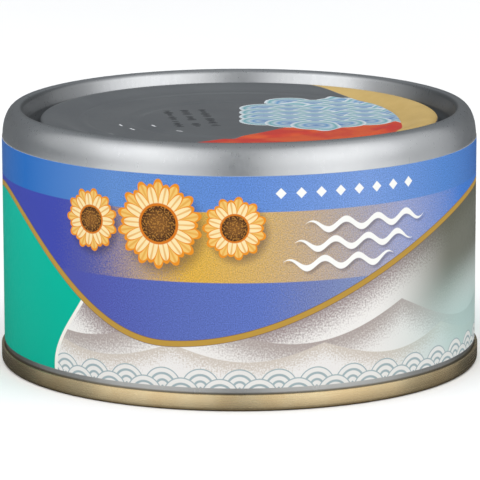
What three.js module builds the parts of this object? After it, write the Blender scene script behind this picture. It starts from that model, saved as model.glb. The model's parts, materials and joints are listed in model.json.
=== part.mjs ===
// A shut round food can: drawn steel body with its closed end up, paper wrap label, seamed base.
// Millimetres, +Z up. The origin is the centre of the ring that the can stands on.

import * as THREE from 'three';

// Driving dimensions of the whole can
const FACETS = 64; // sides round the axis, shared so that nested pieces stay parallel
const CAN_HEIGHT = 46.65; // floor to the crest of the shoulder
const BODY_RADIUS = 43.0; // outside of the drawn wall
const FIT_GAP = 0.05; // clearance between pieces that nest

// Shoulder and the recessed closed end
const SHOULDER_WIDTH = 2.6; // from the wall in to the crest
const SHOULDER_RISE = 5.1; // from the end of the straight wall up to the crest
const CREST_INNER_ROUND = 1.4; // rounding from the crest over into the recess
const RECESS_WALL_TILT = 16.0; // degrees that the recess wall leans back from upright
const MOAT_DROP = 3.9; // crest to the bottom of the groove round the panel
const MOAT_ROUND = 1.3; // radius of the groove's bottom
const RIM_RADIUS = 34.2; // top of the raised rim round the panel
const RIM_DROP = 1.7; // crest to the top of that rim
const PANEL_DROP = 2.77; // crest to the flat of the panel

// Rings pressed into the closed end, both round in section
const LID_RIDGE = { radius: 28.5, halfWidth: 1.2, rise: 0.3 };
const LID_CHANNEL = { radius: 19.2, halfWidth: 1.9, rise: -0.3 };

// Paper label
const LABEL_GAP = 0.03; // paste line between wall and paper
const LABEL_THICKNESS = 0.09;
const LABEL_BOTTOM = 3.93;
const LABEL_TOP = 41.33;

// Double seam of the base end
const SEAM_RADIUS = 43.65;
const SEAM_HEIGHT = 3.0;
const SEAM_FOOT_ROUND = 0.7; // outer lower edge
const SEAM_INNER_ROUND = 0.6; // inner lower edge
const SEAM_INNER_RADIUS = 41.3;
const SEAM_FOLD_WALL = 0.6; // metal outside the body's skirt
const SKIRT_DEPTH = 1.7; // how far the body reaches down into the seam
const SKIRT_WALL = 0.65;

// Recessed panel of the base end, heights above the floor
const CHUCK_WALL_TAPER = 0.6;
const SINK_ROUND = 0.7; // radius of the groove inside the seam
const SINK_DEPTH = 3.7;
const BASE_PANEL_HEIGHT = 2.7;
const BASE_EDGE_WIDTH = 1.3;
const BASE_METAL = 0.8; // from the groove up to the hidden joint with the body
const BASE_RIDGE = { radius: 29.0, halfWidth: 1.8, rise: -0.35 };
const BASE_STEP = { radius: 18.0, halfWidth: 1.8, rise: -0.35 };

// Smoothness of the sections
const FINE_STEPS = 8;
const ROUND_STEPS = 4;
const BEAD_STEPS = 6;

const point = (radius, height) => new THREE.Vector2(radius, height);

// Points along an elliptical arc of the section; the turn is counted in quarters from straight out.
function arc(centre, semiRadius, semiHeight, fromQuarter, toQuarter, steps) {
  return Array.from({ length: steps + 1 }, (_, i) => {
    const turn = fromQuarter + ((toQuarter - fromQuarter) * i) / steps;
    const angle = (turn * Math.PI) / 2;
    return point(centre.x + semiRadius * Math.cos(angle), centre.y + semiHeight * Math.sin(angle));
  });
}

// Points across a pressed ring, from its inner foot to its outer foot.
function bead(ring, panelHeight) {
  return Array.from({ length: BEAD_STEPS + 1 }, (_, i) => {
    const across = (2 * i) / BEAD_STEPS - 1;
    const lift = (ring.rise * (1 + Math.cos(across * Math.PI))) / 2;
    return point(ring.radius + across * ring.halfWidth, panelHeight + lift);
  });
}

// Points down a soft slope of the section, level at both ends; the first point is left out.
function slope(from, to, steps) {
  return Array.from({ length: steps }, (_, i) => {
    const along = (i + 1) / steps;
    const ease = (1 - Math.cos(along * Math.PI)) / 2;
    return point(from.x + (to.x - from.x) * along, from.y + (to.y - from.y) * ease);
  });
}

// A named solid of revolution about +Z. The section runs with the material on its left.
function turned(name, section, material) {
  const geometry = new THREE.LatheGeometry(section, FACETS);
  geometry.rotateX(Math.PI / 2);
  const mesh = new THREE.Mesh(geometry, material);
  mesh.name = name;
  return mesh;
}

// Heights and radii that both metal pieces share
const hiddenJoint = SINK_DEPTH + BASE_METAL;
const skirtBottom = SEAM_HEIGHT - SKIRT_DEPTH;
const skirtInner = BODY_RADIUS - SKIRT_WALL;

// Body: skirt inside the seam, wall, shoulder, recess, groove, raised rim and ringed panel.
function bodySection() {
  const shoulderCentre = point(BODY_RADIUS - SHOULDER_WIDTH, CAN_HEIGHT - SHOULDER_RISE);
  const crestCentre = point(shoulderCentre.x, CAN_HEIGHT - CREST_INNER_ROUND);
  const tilt = (RECESS_WALL_TILT * Math.PI) / 180;
  const rounds = CREST_INNER_ROUND + MOAT_ROUND;
  const recessWall = (MOAT_DROP - rounds + rounds * Math.sin(tilt)) / Math.cos(tilt);
  const moatMiddle = crestCentre.x - rounds * Math.cos(tilt) - recessWall * Math.sin(tilt);
  const moatCentre = point(moatMiddle, CAN_HEIGHT - MOAT_DROP + MOAT_ROUND);
  const bent = RECESS_WALL_TILT / 90;
  const panelHeight = CAN_HEIGHT - PANEL_DROP;
  const rimTop = point(RIM_RADIUS, CAN_HEIGHT - RIM_DROP);
  const rimCentre = point(RIM_RADIUS, moatCentre.y);
  const rimWidth = moatCentre.x - MOAT_ROUND - RIM_RADIUS;
  const flatEdge = point(LID_RIDGE.radius + LID_RIDGE.halfWidth, panelHeight);
  return [
    point(0, hiddenJoint + FIT_GAP),
    point(skirtInner, hiddenJoint + FIT_GAP),
    point(skirtInner, skirtBottom),
    point(BODY_RADIUS, skirtBottom),
    ...arc(shoulderCentre, SHOULDER_WIDTH, SHOULDER_RISE, 0, 1, FINE_STEPS),
    ...arc(crestCentre, CREST_INNER_ROUND, CREST_INNER_ROUND, 1, 2 - bent, ROUND_STEPS).slice(1),
    ...arc(moatCentre, MOAT_ROUND, MOAT_ROUND, -bent, -2, FINE_STEPS),
    ...arc(rimCentre, rimWidth, rimTop.y - rimCentre.y, 0, 1, ROUND_STEPS).slice(1),
    ...slope(rimTop, flatEdge, BEAD_STEPS),
    ...bead(LID_RIDGE, panelHeight).reverse().slice(1),
    ...bead(LID_CHANNEL, panelHeight).reverse(),
    point(0, panelHeight),
  ];
}

// Base end: ringed panel, groove, chuck wall, standing ring and the fold that grips the body.
function baseSection() {
  const sinkOuter = SEAM_INNER_RADIUS - CHUCK_WALL_TAPER;
  const sinkCentre = point(sinkOuter - SINK_ROUND, SINK_DEPTH - SINK_ROUND);
  const panelEdge = point(sinkCentre.x - SINK_ROUND - BASE_EDGE_WIDTH, sinkCentre.y);
  const innerFoot = point(SEAM_INNER_RADIUS + SEAM_INNER_ROUND, SEAM_INNER_ROUND);
  const outerFoot = point(SEAM_RADIUS - SEAM_FOOT_ROUND, SEAM_FOOT_ROUND);
  const slotOuter = SEAM_RADIUS - SEAM_FOLD_WALL;
  const slotInner = skirtInner - FIT_GAP;
  const foldRound = SEAM_FOLD_WALL / 2;
  const foldTop = point(SEAM_RADIUS - foldRound, SEAM_HEIGHT - foldRound);
  return [
    point(0, BASE_PANEL_HEIGHT),
    ...bead(BASE_STEP, BASE_PANEL_HEIGHT),
    ...bead(BASE_RIDGE, BASE_PANEL_HEIGHT),
    ...arc(panelEdge, BASE_EDGE_WIDTH, panelEdge.y - BASE_PANEL_HEIGHT, -1, 0, ROUND_STEPS),
    ...arc(sinkCentre, SINK_ROUND, SINK_ROUND, 2, 0, FINE_STEPS).slice(1),
    ...arc(innerFoot, SEAM_INNER_ROUND, SEAM_INNER_ROUND, 2, 3, ROUND_STEPS),
    ...arc(outerFoot, SEAM_FOOT_ROUND, SEAM_FOOT_ROUND, 3, 4, ROUND_STEPS),
    ...arc(foldTop, foldRound, foldRound, 0, 2, ROUND_STEPS),
    point(slotOuter, skirtBottom - FIT_GAP),
    point(slotInner, skirtBottom - FIT_GAP),
    point(slotInner, hiddenJoint),
    point(0, hiddenJoint),
  ];
}

// Label: a closed strip section, so the sleeve is open at both ends.
function labelSection() {
  const inner = BODY_RADIUS + LABEL_GAP;
  const outer = inner + LABEL_THICKNESS;
  return [
    point(inner, LABEL_BOTTOM),
    point(outer, LABEL_BOTTOM),
    point(outer, LABEL_TOP),
    point(inner, LABEL_TOP),
    point(inner, LABEL_BOTTOM),
  ];
}

const silverSteel = new THREE.MeshStandardMaterial({ color: 0x9c9da0, roughness: 0.38, metalness: 1.0 });
const goldLacquer = new THREE.MeshStandardMaterial({ color: 0xb79d6a, roughness: 0.34, metalness: 1.0 });
const printedPaper = new THREE.MeshStandardMaterial({ color: 0x5577be, roughness: 0.45, metalness: 0.0 });

const can = new THREE.Group();
can.add(turned('can_body', bodySection(), silverSteel));
can.add(turned('paper_label', labelSection(), printedPaper));
can.add(turned('base_end', baseSection(), goldLacquer));

export default can;
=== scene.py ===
"""Looks of a shut round food can: satin tinplate body, printed paper label and gold seamed base.

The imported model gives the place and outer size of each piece. This script turns the fine surfaces,
prints the label and the lid with generic sea and flower motifs, and sets up a plain studio.
"""

from __future__ import annotations

import json
import logging
import math
from dataclasses import dataclass
from enum import Enum
from typing import Any, Callable, Sequence, Union

import bpy
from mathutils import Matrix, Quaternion, Vector

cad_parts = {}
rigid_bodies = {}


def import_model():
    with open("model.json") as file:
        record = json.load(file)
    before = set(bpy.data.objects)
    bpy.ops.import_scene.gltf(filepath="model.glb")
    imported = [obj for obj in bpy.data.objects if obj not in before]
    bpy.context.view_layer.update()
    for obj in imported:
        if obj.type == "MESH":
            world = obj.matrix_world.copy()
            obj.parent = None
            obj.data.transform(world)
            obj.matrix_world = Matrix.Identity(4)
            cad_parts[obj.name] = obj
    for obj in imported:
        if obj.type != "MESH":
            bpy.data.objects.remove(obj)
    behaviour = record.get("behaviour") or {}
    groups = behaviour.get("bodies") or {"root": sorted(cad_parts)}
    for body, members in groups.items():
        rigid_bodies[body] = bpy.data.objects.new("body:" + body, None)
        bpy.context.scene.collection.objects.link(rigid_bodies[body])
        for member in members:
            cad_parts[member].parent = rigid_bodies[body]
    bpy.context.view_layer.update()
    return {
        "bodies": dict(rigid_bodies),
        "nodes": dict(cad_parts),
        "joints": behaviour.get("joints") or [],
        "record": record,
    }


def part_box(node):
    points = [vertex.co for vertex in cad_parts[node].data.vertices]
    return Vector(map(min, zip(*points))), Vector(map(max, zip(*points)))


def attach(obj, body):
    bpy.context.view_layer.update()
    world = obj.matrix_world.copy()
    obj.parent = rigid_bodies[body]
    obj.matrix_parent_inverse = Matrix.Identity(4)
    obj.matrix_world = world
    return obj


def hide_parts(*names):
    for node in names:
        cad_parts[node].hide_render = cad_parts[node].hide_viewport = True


LOG = logging.getLogger("food_can")
MM = 0.001
QUARTER_TURN = math.pi / 2
FULL_TURN = 2 * math.pi
CREASE = math.radians(40)  # edges that turn further stay sharp
PRINT_EDGE = 0.06  # half width of a printed shape's soft border, in millimetres
FINE_EDGE = 0.05  # the same of a thin printed line
BLUNT_EDGE = 0.08  # the same of a large printed field

Socket = bpy.types.NodeSocket
Scalar = Union[float, Socket]
Rgba = tuple[float, float, float, float]
Point = tuple[float, float]

AXIS: Point = (0.0, 0.0)  # the can's axis, seen from above


class Node(Enum):
    """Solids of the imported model."""

    BODY = "can_body"
    LABEL = "paper_label"
    BASE = "base_end"


class Slot(Enum):
    """Material slots of the record."""

    SILVER = "silver_steel"
    PAPER = "label_paper"
    GOLD = "gold_lacquer"


def ink(red: int, green: int, blue: int) -> Rgba:
    """Turns display values from 0 to 255 into a linear colour.

    Args:
        red: Red as shown on a screen.
        green: Green as shown on a screen.
        blue: Blue as shown on a screen.

    Returns:
        Linear red, green, blue and an alpha of one.
    """

    def linear(value: int) -> float:
        """Undoes the display curve of one channel."""
        share = value / 255
        return share / 12.92 if share <= 0.04045 else ((share + 0.055) / 1.055) ** 2.4

    return (linear(red), linear(green), linear(blue), 1.0)


GOLD_INK = ink(184, 146, 66)
WHITE_INK = ink(246, 245, 241)


class Graph:
    """Short methods that add nodes to one shader or geometry tree."""

    def __init__(self, tree: bpy.types.NodeTree) -> None:
        """Starts on an existing tree."""
        self.tree = tree

    def feed(self, socket: Socket, value: Any) -> None:
        """Links another socket into this one, or sets its own value.

        Args:
            socket: Input that takes the value.
            value: Another node's output, or a plain value.
        """
        if isinstance(value, bpy.types.NodeSocket):
            self.tree.links.new(value, socket)
        else:
            socket.default_value = value

    def add(self, kind: str, feeds: dict[Any, Any] | None = None, **settings: Any) -> bpy.types.Node:
        """Adds one node.

        Args:
            kind: Blender's name of the node type.
            feeds: Input name or number to a value or a socket.
            **settings: Properties of the node itself.

        Returns:
            The new node.
        """
        node = self.tree.nodes.new(kind)
        for name, value in settings.items():
            setattr(node, name, value)
        for key, value in (feeds or {}).items():
            self.feed(node.inputs[key], value)
        return node

    def math(self, operation: str, *values: Scalar) -> Socket:
        """Adds one Math node and returns its result."""
        return self.add("ShaderNodeMath", dict(enumerate(values)), operation=operation).outputs[0]

    def span(self, value: Scalar, low: Scalar, high: Scalar, at_low: float, at_high: float) -> Socket:
        """Eases from one value to another.

        Args:
            value: What is measured.
            low: Where the change begins.
            high: Where the change ends.
            at_low: Result up to low.
            at_high: Result from high on.

        Returns:
            The eased value.
        """
        feeds = {"Value": value, "From Min": low, "From Max": high, "To Min": at_low, "To Max": at_high}
        node = self.add("ShaderNodeMapRange", feeds, interpolation_type="SMOOTHSTEP")
        return node.outputs["Result"]

    def vector(self, x: Scalar, y: Scalar, z: Scalar = 0.0) -> Socket:
        """Joins three numbers into a vector."""
        return self.add("ShaderNodeCombineXYZ", {"X": x, "Y": y, "Z": z}).outputs["Vector"]

    def split(self, vector: Socket) -> tuple[Socket, Socket, Socket]:
        """Splits a vector into its three numbers."""
        node = self.add("ShaderNodeSeparateXYZ", {"Vector": vector})
        return node.outputs["X"], node.outputs["Y"], node.outputs["Z"]

    def wave(self, along: Scalar, period: float, crest: float, height: float, mean: Scalar) -> Socket:
        """A cosine swell.

        Args:
            along: Place along the swell.
            period: Length of one swell.
            crest: Place of a crest.
            height: Crest above the mean.
            mean: Mean level.

        Returns:
            The level at that place.
        """
        turn = self.math("MULTIPLY", self.math("SUBTRACT", along, crest), FULL_TURN / period)
        return self.math("MULTIPLY_ADD", self.math("COSINE", turn), height, mean)

    def over(self, base: Any, mask: Socket, top: Any) -> Socket:
        """Lays one colour over another.

        Args:
            base: Colour below.
            mask: Cover of the top colour, from 0 to 1.
            top: Colour above.

        Returns:
            The mixed colour.
        """
        node = self.add("ShaderNodeMix", {0: mask, 6: base, 7: top}, data_type="RGBA")
        return node.outputs[2]


class ShaderGraph(Graph):
    """A material's tree, with the steps that print and metal share."""

    def __init__(self, name: str) -> None:
        """Makes an empty material with its output node.

        Args:
            name: Name of the material.
        """
        self.material = bpy.data.materials.new(name)
        self.material.use_nodes = True
        super().__init__(self.material.node_tree)
        self.tree.nodes.clear()
        self.output = self.add("ShaderNodeOutputMaterial")

    def surface(self, **feeds: Any) -> bpy.types.Material:
        """Ends the tree in one Principled shader.

        Args:
            **feeds: Input names, with underscores for spaces, to values or sockets.

        Returns:
            The finished material.
        """
        named = {name.replace("_", " "): value for name, value in feeds.items()}
        shader = self.add("ShaderNodeBsdfPrincipled", named)
        self.feed(self.output.inputs["Surface"], shader.outputs["BSDF"])
        return self.material

    def place(self) -> Socket:
        """Finds the place on the piece in the object's own frame.

        Returns:
            The place, in millimetres.
        """
        point = self.add("ShaderNodeTexCoord").outputs["Object"]
        scale = self.add("ShaderNodeVectorMath", {0: point, "Scale": 1 / MM}, operation="SCALE")
        return scale.outputs["Vector"]

    def noise(self, at: Socket, scale: float, detail: float = 2.0) -> Socket:
        """Smooth noise from 0 to 1, with about scale lumps to a millimetre."""
        feeds = {"Vector": at, "Scale": scale, "Detail": detail}
        return self.add("ShaderNodeTexNoise", feeds).outputs["Fac"]

    def stretched(self, at: Socket, scale: tuple[float, float, float]) -> Socket:
        """Stretches a place so that noise read there becomes streaks."""
        return self.add("ShaderNodeMapping", {"Vector": at, "Scale": scale}).outputs["Vector"]

    def mixed(self, share: Socket, first: Socket, second: Socket) -> Socket:
        """Mixes two shaders by the share of the second."""
        return self.add("ShaderNodeMixShader", {0: share, 1: first, 2: second}).outputs[0]

    def blend(self, at: Scalar, stops: Sequence[tuple[float, Rgba]]) -> Socket:
        """Colours that change along a line.

        Args:
            at: Place along the line.
            stops: Place and colour of each stop, in order.

        Returns:
            The colour at that place.
        """
        first, last = stops[0][0], stops[-1][0]
        share = self.math("DIVIDE", self.math("SUBTRACT", at, first), last - first)
        node = self.add("ShaderNodeValToRGB", {"Fac": share})
        ramp = node.color_ramp
        while len(ramp.elements) < len(stops):
            ramp.elements.new(0.5)
        for element, (place, colour) in zip(ramp.elements, stops):
            element.position = (place - first) / (last - first)
            element.color = colour
        return node.outputs["Color"]

    def clouded(
        self, first: Rgba, second: Rgba, cloud: Socket, low: float = 0.35, high: float = 0.7
    ) -> Socket:
        """Mixes two tones in soft clouds, the second where the noise is high."""
        return self.over(first, self.span(cloud, low, high, 0.0, 1.0), second)

    def inside(self, distance: Scalar, edge: Scalar, soft: float = PRINT_EDGE) -> Socket:
        """One where the distance is less than the edge, with a soft border."""
        past = self.math("SUBTRACT", distance, edge)
        return self.span(past, -soft, soft, 1.0, 0.0)

    def both(self, first: Scalar, second: Scalar) -> Socket:
        """Cover where two masks overlap."""
        return self.math("MULTIPLY", first, second)

    def apart(self, x: Scalar, y: Scalar, centre: Point) -> Socket:
        """Distance of a place from a centre."""
        offset = self.vector(self.math("SUBTRACT", x, centre[0]), self.math("SUBTRACT", y, centre[1]))
        return self.add("ShaderNodeVectorMath", {0: offset}, operation="LENGTH").outputs["Value"]

    def bump(self, height: Socket, depth: float) -> Socket:
        """Normal of a surface with low relief, its depth in millimetres."""
        feeds = {"Height": height, "Strength": 1.0, "Distance": depth * MM}
        return self.add("ShaderNodeBump", feeds).outputs["Normal"]

    def scallops(
        self, x: Scalar, y: Scalar, radius: float, keep: Callable[[Socket, Socket], Socket]
    ) -> Socket:
        """Overlapping fans in staggered rows, the old pattern for the sea.

        Args:
            x: Place along the rows.
            y: Place across the rows.
            radius: Radius of one fan.
            keep: Takes the centre of a fan and gives one where that fan is drawn.

        Returns:
            Distance from the centre of the front fan as a share of its radius, or 2 beside all fans.
        """
        pitch = radius / 2
        front = self.math("CEIL", self.math("DIVIDE", self.math("SUBTRACT", y, radius), pitch))
        result: Scalar = 2.0
        for behind in (3, 2, 1, 0):
            row = self.math("ADD", front, float(behind))
            shift = self.math("MULTIPLY", self.math("FLOORED_MODULO", row, 2.0), radius)
            dx = self.math("WRAP", self.math("SUBTRACT", x, shift), radius, -radius)
            centre_y = self.math("MULTIPLY", row, pitch)
            dy = self.math("SUBTRACT", y, centre_y)
            share = self.math("DIVIDE", self.apart(dx, dy, (0.0, 0.0)), radius)
            wanted = keep(self.math("SUBTRACT", x, dx), centre_y)
            drawn = self.both(self.math("LESS_THAN", share, 1.0), wanted)
            change = self.math("SUBTRACT", share, result)
            result = self.math("MULTIPLY_ADD", drawn, change, result)
        return result


class GeometryTool(Graph):
    """A Geometry Nodes tree with named inputs whose result becomes a plain mesh."""

    def __init__(self, name: str) -> None:
        """Makes an empty tree that takes and gives a mesh.

        Args:
            name: Name of the tree.
        """
        super().__init__(bpy.data.node_groups.new(name, "GeometryNodeTree"))
        self.identifiers: dict[str, str] = {}
        self.tree.interface.new_socket("Geometry", in_out="OUTPUT", socket_type="NodeSocketGeometry")
        self.tree.interface.new_socket("Geometry", in_out="INPUT", socket_type="NodeSocketGeometry")
        self.group_input = self.add("NodeGroupInput")
        self.group_output = self.add("NodeGroupOutput")

    def input(self, name: str, kind: str) -> Socket:
        """Adds a named input.

        Args:
            name: Name that apply takes for it.
            kind: Kind of value, such as Float, Int or Material.

        Returns:
            The socket that gives the value inside the tree.
        """
        socket = self.tree.interface.new_socket(name, in_out="INPUT", socket_type=f"NodeSocket{kind}")
        self.identifiers[name] = socket.identifier
        return self.group_input.outputs[name]

    def own_mesh(self) -> Socket:
        """The mesh of the object that carries the tree."""
        return self.group_input.outputs["Geometry"]

    def grid(self, columns: Scalar, rows: Scalar) -> tuple[Socket, Socket, Socket, Socket]:
        """A flat unit grid.

        Args:
            columns: Vertices along the first side.
            rows: Vertices along the second side.

        Returns:
            The mesh, its UV map, and each vertex's share of the first and the second side.
        """
        feeds = {"Size X": 1.0, "Size Y": 1.0, "Vertices X": columns, "Vertices Y": rows}
        node = self.add("GeometryNodeMeshGrid", feeds)
        x, y, _ = self.split(self.add("GeometryNodeInputPosition").outputs["Position"])
        first, second = self.math("ADD", x, 0.5), self.math("ADD", y, 0.5)
        return node.outputs["Mesh"], node.outputs["UV Map"], first, second

    def round_axis(self, radius: Scalar, angle: Scalar, height: Scalar) -> Socket:
        """A point round the can's axis.

        Args:
            radius: Distance from the axis.
            angle: Angle from the front towards the right.
            height: Height above the floor.

        Returns:
            The place as a vector.
        """
        x = self.math("MULTIPLY", radius, self.math("SINE", angle))
        y = self.math("MULTIPLY", radius, self.math("COSINE", angle))
        return self.vector(x, self.math("MULTIPLY", y, -1.0), height)

    def moved(self, mesh: Socket, position: Socket) -> Socket:
        """Sets each vertex's place."""
        feeds = {"Geometry": mesh, "Position": position}
        return self.add("GeometryNodeSetPosition", feeds).outputs["Geometry"]

    def mapped(self, mesh: Socket, name: str, uv: Socket) -> Socket:
        """Stores a UV map.

        Args:
            mesh: Mesh that gets the map.
            name: Name of the map.
            uv: Place on the map of each corner.

        Returns:
            The mesh with its map.
        """
        feeds = {"Geometry": mesh, "Name": name, "Value": uv}
        kind = "GeometryNodeStoreNamedAttribute"
        return self.add(kind, feeds, data_type="FLOAT2", domain="CORNER").outputs["Geometry"]

    def welded(self, mesh: Socket, distance: float = 1e-7) -> Socket:
        """Merges vertices that meet."""
        feeds = {"Geometry": mesh, "Distance": distance}
        return self.add("GeometryNodeMergeByDistance", feeds).outputs["Geometry"]

    def smoothed(self, mesh: Socket, crease: float = CREASE) -> Socket:
        """Shades a mesh smooth, apart from its sharp edges.

        Args:
            mesh: Mesh to shade.
            crease: Angle from which an edge is sharp.

        Returns:
            The shaded mesh.
        """
        smooth = self.add("GeometryNodeSetShadeSmooth", {0: mesh, "Shade Smooth": True})
        angle = self.add("GeometryNodeInputMeshEdgeAngle").outputs["Unsigned Angle"]
        sharp = self.math("GREATER_THAN", angle, crease)
        feeds = {0: smooth.outputs[0], "Selection": sharp, "Shade Smooth": False}
        return self.add("GeometryNodeSetShadeSmooth", feeds, domain="EDGE").outputs[0]

    def painted(self, mesh: Socket, material: Socket, faces: Any = True) -> Socket:
        """Gives faces a material."""
        feeds = {"Geometry": mesh, "Selection": faces, "Material": material}
        return self.add("GeometryNodeSetMaterial", feeds).outputs["Geometry"]

    def end(self, mesh: Socket) -> None:
        """Realizes what is left of instances and ends the tree."""
        real = self.add("GeometryNodeRealizeInstances", {"Geometry": mesh}).outputs["Geometry"]
        self.feed(self.group_output.inputs["Geometry"], real)

    def apply(self, piece: bpy.types.Object, values: dict[str, Any]) -> None:
        """Runs the tree on a piece and keeps the result as its mesh.

        Args:
            piece: Object that carries the tree's starting mesh.
            values: Input name to value.
        """
        modifier = piece.modifiers.new(self.tree.name, "NODES")
        modifier.node_group = self.tree
        for name, value in values.items():
            modifier[self.identifiers[name]] = value
        depsgraph = bpy.context.evaluated_depsgraph_get()
        result = bpy.data.meshes.new_from_object(
            piece.evaluated_get(depsgraph), preserve_all_data_layers=True, depsgraph=depsgraph
        )
        piece.modifiers.remove(modifier)
        start = piece.data
        piece.data = result
        bpy.data.meshes.remove(start)
        result.name = piece.name


class TurningTool(GeometryTool):
    """Turns a section about the can's axis, with a second finish inside a given radius."""

    def __init__(self) -> None:
        """Builds the tree."""
        super().__init__("turned_section")
        facets = self.input("Facets", "Int")
        outer = self.input("Finish", "Material")
        inner = self.input("Panel finish", "Material")
        reach = self.input("Panel radius", "Float")
        floor = self.input("Panel floor", "Float")
        section = self.own_mesh()
        count = self.add("GeometryNodeAttributeDomainSize", {"Geometry": section}).outputs["Point Count"]
        mesh, _, turn, row = self.grid(self.math("ADD", facets, 1.0), count)
        index = self.math("ROUND", self.math("MULTIPLY", row, self.math("SUBTRACT", count, 1.0)))
        place = self.add("GeometryNodeInputPosition").outputs["Position"]
        feeds = {"Geometry": section, "Value": place, "Index": index}
        sample = self.add("GeometryNodeSampleIndex", feeds, data_type="FLOAT_VECTOR", domain="POINT")
        radius, _, height = self.split(sample.outputs["Value"])
        angle = self.math("MULTIPLY", turn, FULL_TURN)
        solid = self.welded(self.moved(mesh, self.round_axis(radius, angle, height)))
        x, y, z = self.split(self.add("GeometryNodeInputPosition").outputs["Position"])
        flat = self.add("ShaderNodeVectorMath", {0: self.vector(x, y)}, operation="LENGTH")
        near = self.math("LESS_THAN", flat.outputs["Value"], reach)
        panel = self.math("MULTIPLY", near, self.math("GREATER_THAN", z, floor))
        solid = self.smoothed(solid)
        self.end(self.painted(self.painted(solid, outer), inner, panel))


class WrappingTool(GeometryTool):
    """Wraps a sheet of paper round the can, its free end lying over its own start."""

    UV_MAP = "wrap"
    LAP_STEP = 1.2  # how far the free end stands off, in thicknesses of the paper
    LAP_EASE = 1.6  # where it has come down to the wall, in lengths of the lap

    def __init__(self) -> None:
        """Builds the tree."""
        super().__init__("wrapped_sheet")
        facets = self.input("Facets", "Int")
        rows = self.input("Rows", "Int")
        radius = self.input("Radius", "Float")
        bottom = self.input("Bottom", "Float")
        height = self.input("Height", "Float")
        thickness = self.input("Thickness", "Float")
        start = self.input("Start angle", "Float")
        turn = self.input("Wrap angle", "Float")
        lap = self.input("Lap share", "Float")
        printed = self.input("Print", "Material")
        core = self.input("Paper", "Material")
        mesh, uv, along, up = self.grid(facets, rows)
        mesh = self.mapped(mesh, self.UV_MAP, uv)
        from_end = self.math("SUBTRACT", 1.0, along)
        step = self.math("MULTIPLY", thickness, self.LAP_STEP)
        climb = self.span(from_end, lap, self.math("MULTIPLY", lap, self.LAP_EASE), 1.0, 0.0)
        outer = self.math("MULTIPLY_ADD", climb, step, radius)
        angle = self.math("MULTIPLY_ADD", along, turn, start)
        level = self.math("MULTIPLY_ADD", up, height, bottom)
        face = self.painted(self.moved(mesh, self.round_axis(outer, angle, level)), printed)
        inward = self.math("MULTIPLY", thickness, -1.0)
        feeds = {"Mesh": face, "Offset Scale": inward, "Individual": False}
        back = self.add("GeometryNodeExtrudeMesh", feeds, mode="FACES").outputs["Mesh"]
        back = self.add("GeometryNodeFlipFaces", {"Mesh": back}).outputs["Mesh"]
        join = self.add("GeometryNodeJoinGeometry")
        self.feed(join.inputs["Geometry"], face)
        self.feed(join.inputs["Geometry"], self.painted(back, core))
        self.end(self.smoothed(self.welded(join.outputs["Geometry"])))


class MarkingTool(GeometryTool):
    """Sets lines of short raised bars on the lid, of random size and with random gaps."""

    SEED = 7
    DROPPED = 0.18  # share of the bars that are left out
    WIDTHS = (0.7, 1.3)  # least and most of a bar's own width
    LENGTHS = (0.5, 1.1)  # least and most of a bar's own length

    def __init__(self) -> None:
        """Builds the tree."""
        super().__init__("raised_marks")
        lines = self.input("Lines", "Int")
        gap = self.input("Line gap", "Vector")
        columns = self.input("Bars in a line", "Int")
        pitch = self.input("Bar pitch", "Vector")
        bar = self.input("Bar size", "Vector")
        place = self.input("Place", "Vector")
        lean = self.input("Lean", "Vector")
        metal = self.input("Finish", "Material")
        feeds = {"Count": lines, "Offset": gap}
        starts = self.add("GeometryNodeMeshLine", feeds).outputs["Mesh"]
        feeds = {"Count": columns, "Offset": pitch}
        line = self.add("GeometryNodeMeshLine", feeds).outputs["Mesh"]
        points = self.real(self.add("GeometryNodeInstanceOnPoints", {"Points": starts, "Instance": line}))
        dropped = self.random("BOOLEAN", 0, Probability=self.DROPPED)
        kept = self.add("GeometryNodeDeleteGeometry", {"Geometry": points, "Selection": dropped})
        pill = self.add("GeometryNodeMeshIcoSphere", {"Radius": 1.0, "Subdivisions": 2}).outputs["Mesh"]
        width = self.random("FLOAT", 1, Min=self.WIDTHS[0], Max=self.WIDTHS[1])
        length = self.random("FLOAT", 2, Min=self.LENGTHS[0], Max=self.LENGTHS[1])
        stretch = self.vector(width, length, 1.0)
        size = self.add("ShaderNodeVectorMath", {0: bar, 1: stretch}, operation="MULTIPLY")
        feeds = {"Points": kept.outputs["Geometry"], "Instance": pill, "Scale": size.outputs["Vector"]}
        marks = self.real(self.add("GeometryNodeInstanceOnPoints", feeds))
        feeds = {"Geometry": marks, "Translation": place, "Rotation": lean}
        set_down = self.add("GeometryNodeTransform", feeds).outputs["Geometry"]
        self.end(self.painted(self.smoothed(set_down, math.pi), metal))

    def real(self, node: bpy.types.Node) -> Socket:
        """Turns the instances that a node gives into plain geometry."""
        feeds = {"Geometry": node.outputs["Instances"]}
        return self.add("GeometryNodeRealizeInstances", feeds).outputs["Geometry"]

    def random(self, kind: str, draw: int, **limits: Any) -> Socket:
        """A random value for each point.

        Args:
            kind: BOOLEAN, INT or FLOAT.
            draw: Number of the draw, so that draws differ.
            **limits: Probability, or Min and Max.

        Returns:
            The socket with that value.
        """
        node = self.add("FunctionNodeRandomValue", data_type=kind)
        for name, value in limits.items():
            enabled = [s for s in node.inputs if s.name == name and s.enabled]
            self.feed(enabled[0], value)
        self.feed([s for s in node.inputs if s.name == "Seed"][0], self.SEED + draw)
        return [s for s in node.outputs if s.enabled][0]


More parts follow.
